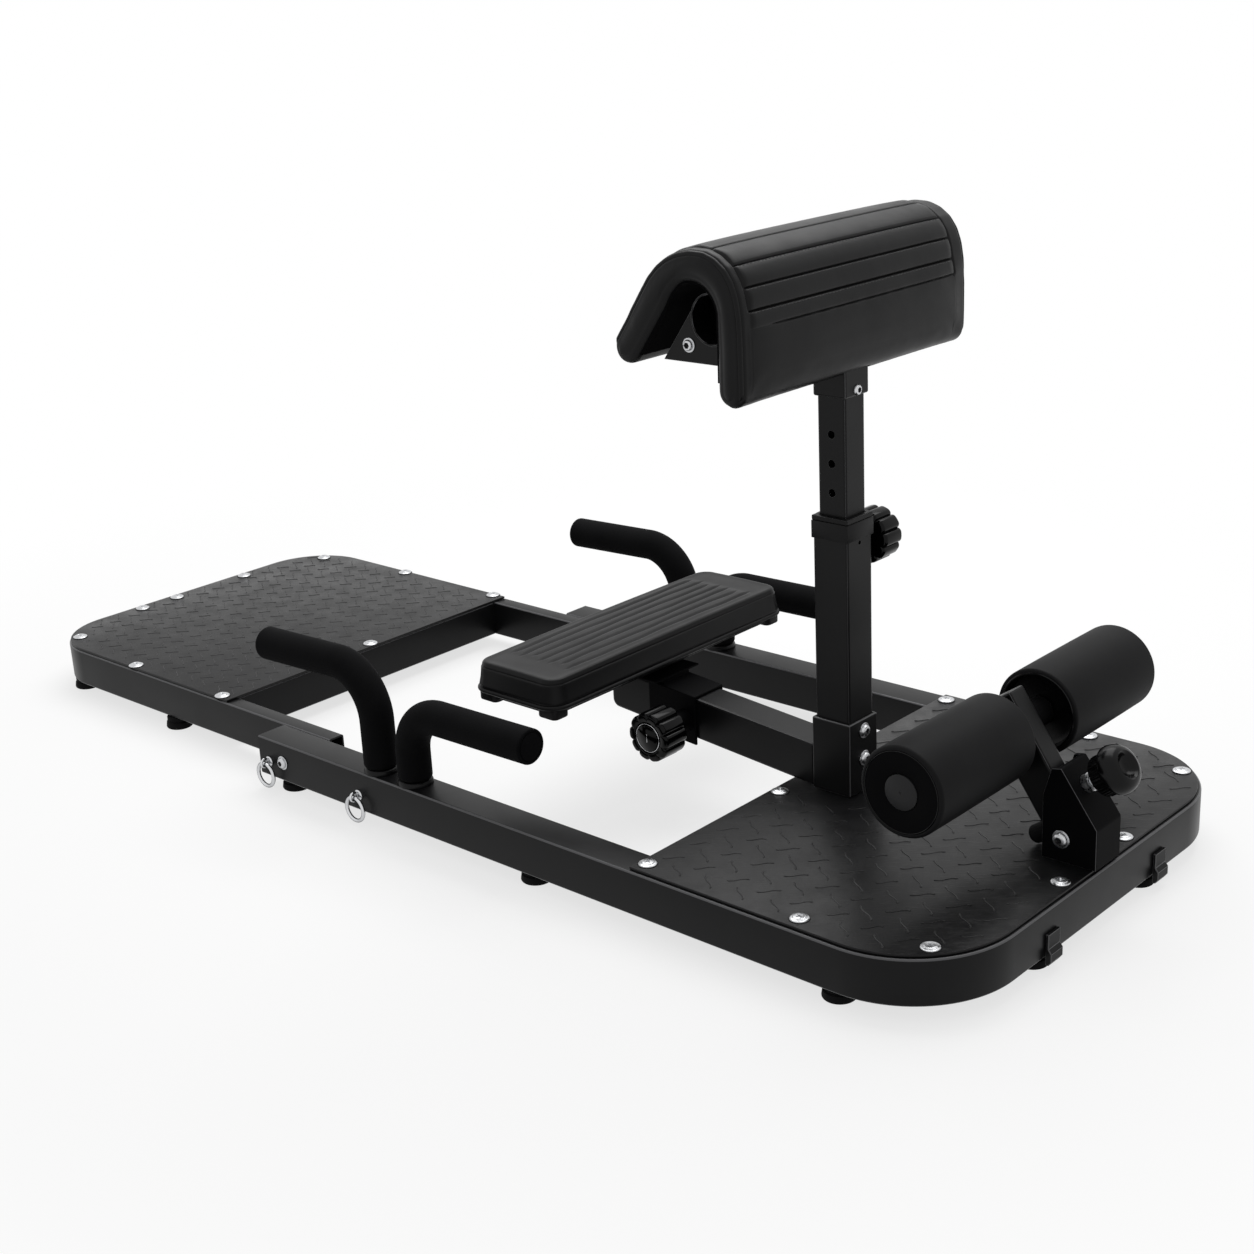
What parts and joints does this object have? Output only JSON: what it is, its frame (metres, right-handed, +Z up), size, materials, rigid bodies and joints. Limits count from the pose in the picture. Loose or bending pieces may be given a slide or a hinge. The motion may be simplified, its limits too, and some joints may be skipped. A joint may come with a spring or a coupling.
{
  "type": "glute machine",
  "caption": "Floor-standing glute trainer: folding deck frame, height-set arched hip pad on a post, sliding seat, hand grips and tilting foot rollers.",
  "frame": {"origin": "centre of the overall box, at floor level", "axes": "+X from the rear deck towards the foot rollers, +Y to the far side in the picture (the post knob's side), +Z up"},
  "size_m": [1.4154, 0.5558, 0.6168],
  "materials": {
    "powder_coat": "satin black powder coat",
    "deck_plate": "matte dark grey coat over raised tread marks",
    "grip_foam": "matte black closed-cell foam",
    "roller_foam": "matte black closed-cell foam",
    "pad_cover": "black grained upholstery",
    "seat_rubber": "moulded black rubber, fine satin",
    "seat_base_plastic": "matte black",
    "foot_rubber": "matte black",
    "clip_plastic": "satin black",
    "liner_plastic": "satin black",
    "knob_plastic": "glossy black",
    "bright_steel": "bright zinc plate",
    "ring_chrome": "polished"
  },
  "bodies": {
    "fixed_frame": {"front_frame": "powder_coat", "front_deck": "deck_plate", "post_socket": "powder_coat", "outer_post": "powder_coat", "post_liner": "liner_plastic", "centre_beam": "powder_coat", "handle_tube_rear_near": "powder_coat", "handle_tube_rear_far": "powder_coat", "handle_tube_front_near": "powder_coat", "handle_tube_front_far": "powder_coat", "handle_grip_rear_near": "grip_foam", "handle_grip_rear_far": "grip_foam", "handle_grip_front_near": "grip_foam", "handle_grip_front_far": "grip_foam", "roller_bracket": "powder_coat", "pivot_bolt": "bright_steel", "rail_foot_front_near": "foot_rubber", "rail_foot_front_far": "foot_rubber", "rail_foot_middle_near": "foot_rubber", "rail_foot_middle_far": "foot_rubber", "rail_foot_rear_near": "foot_rubber", "rail_foot_rear_far": "foot_rubber", "front_foot_near": "foot_rubber", "front_foot_far": "foot_rubber", "front_clip_near": "clip_plastic", "front_clip_far": "clip_plastic", "eye_rear_near": "ring_chrome", "eye_rear_far": "ring_chrome", "eye_front_near": "ring_chrome", "eye_front_far": "ring_chrome", "lap_bolt_near": "bright_steel", "lap_bolt_far": "bright_steel"},
    "rear_platform": {"rear_frame": "powder_coat", "rear_deck": "deck_plate", "rear_foot_inner_near": "foot_rubber", "rear_foot_inner_far": "foot_rubber", "rear_foot_end_near": "foot_rubber", "rear_foot_end_far": "foot_rubber"},
    "hip_pad_post": {"inner_post": "powder_coat", "pad_mount": "powder_coat", "end_plate_near": "powder_coat", "end_plate_far": "powder_coat", "arch_pad": "pad_cover"},
    "seat_carriage": {"seat_saddle": "powder_coat", "seat_base": "seat_base_plastic", "seat_pad": "seat_rubber"},
    "seat_lock_stud": {"seat_stud": "bright_steel"},
    "seat_lock_knob": {"seat_knob": "knob_plastic"},
    "post_lock_stud": {"post_stud": "bright_steel"},
    "post_lock_knob": {"post_knob": "knob_plastic"},
    "roller_arm": {"swing_arm": "powder_coat", "arm_bumper": "foot_rubber"},
    "arm_set_stud": {"arm_stud": "bright_steel"},
    "arm_set_knob": {"arm_knob": "knob_plastic"},
    "near_roller": {"roller_near": "roller_foam"},
    "far_roller": {"roller_far": "roller_foam"},
    "ring_rear_near_body": {"ring_rear_near": "ring_chrome"},
    "ring_rear_far_body": {"ring_rear_far": "ring_chrome"},
    "ring_front_near_body": {"ring_front_near": "ring_chrome"},
    "ring_front_far_body": {"ring_front_far": "ring_chrome"}
  },
  "joints": [
    {"name": "platform_fold", "type": "hinge", "parent": "fixed_frame", "child": "rear_platform", "pos_m": [-0.1697, 0, 0.0375], "axis": [0, 1, 0], "range_deg": [0, 90]},
    {"name": "pad_height", "type": "slide", "parent": "fixed_frame", "child": "hip_pad_post", "axis": [0, 0, 1], "range_m": [-0.112, 0.084]},
    {"name": "seat_slide", "type": "slide", "parent": "fixed_frame", "child": "seat_carriage", "axis": [0.9963, 0, -0.0854], "range_m": [-0.05, 0.118]},
    {"name": "seat_stud_travel", "type": "slide", "parent": "seat_carriage", "child": "seat_lock_stud", "axis": [0, -1, 0], "range_m": [0, 0.003]},
    {"name": "seat_knob_turn", "type": "hinge", "parent": "seat_lock_stud", "child": "seat_lock_knob", "pos_m": [0.2043, -0.0655, 0.0955], "axis": [0, -1, 0], "range_deg": [0, 720]},
    {"name": "post_stud_travel", "type": "slide", "parent": "fixed_frame", "child": "post_lock_stud", "axis": [0, 1, 0], "range_m": [0, 0.003]},
    {"name": "post_knob_turn", "type": "hinge", "parent": "post_lock_stud", "child": "post_lock_knob", "pos_m": [0.3933, 0.0485, 0.312], "axis": [0, 1, 0], "range_deg": [0, 720]},
    {"name": "roller_arm_tilt", "type": "hinge", "parent": "fixed_frame", "child": "roller_arm", "pos_m": [0.6473, 0, 0.086], "axis": [0, 1, 0], "range_deg": [0, 12]},
    {"name": "near_roller_spin", "type": "hinge", "parent": "roller_arm", "child": "near_roller", "pos_m": [0.5859, -0.11, 0.175], "axis": [0, 1, 0], "continuous": true},
    {"name": "far_roller_spin", "type": "hinge", "parent": "roller_arm", "child": "far_roller", "pos_m": [0.5859, 0.11, 0.175], "axis": [0, 1, 0], "continuous": true},
    {"name": "arm_stud_travel", "type": "slide", "parent": "fixed_frame", "child": "arm_set_stud", "axis": [0.8094, 0, 0.5872], "range_m": [0, 0.003]},
    {"name": "arm_knob_turn", "type": "hinge", "parent": "arm_set_stud", "child": "arm_set_knob", "pos_m": [0.68552, 0, 0.15476], "axis": [0.8094, 0, 0.5872], "range_deg": [0, 720]},
    {"name": "ring_rear_near_swing", "type": "hinge", "parent": "fixed_frame", "child": "ring_rear_near_body", "pos_m": [-0.1937, -0.2719, 0.0327], "axis": [-1, 0, 0], "range_deg": [0, 80]},
    {"name": "ring_rear_far_swing", "type": "hinge", "parent": "fixed_frame", "child": "ring_rear_far_body", "pos_m": [-0.1937, 0.2719, 0.0327], "axis": [1, 0, 0], "range_deg": [0, 80]},
    {"name": "ring_front_near_swing", "type": "hinge", "parent": "fixed_frame", "child": "ring_front_near_body", "pos_m": [-0.0427, -0.2719, 0.0327], "axis": [-1, 0, 0], "range_deg": [0, 80]},
    {"name": "ring_front_far_swing", "type": "hinge", "parent": "fixed_frame", "child": "ring_front_far_body", "pos_m": [-0.0427, 0.2719, 0.0327], "axis": [1, 0, 0], "range_deg": [0, 80]}
  ],
  "couplings": [
    {"joint": "seat_stud_travel", "follows": "seat_knob_turn", "m_per_rad": 0.00023873},
    {"joint": "post_stud_travel", "follows": "post_knob_turn", "m_per_rad": 0.00023873},
    {"joint": "arm_stud_travel", "follows": "arm_knob_turn", "m_per_rad": 0.00023873}
  ]
}
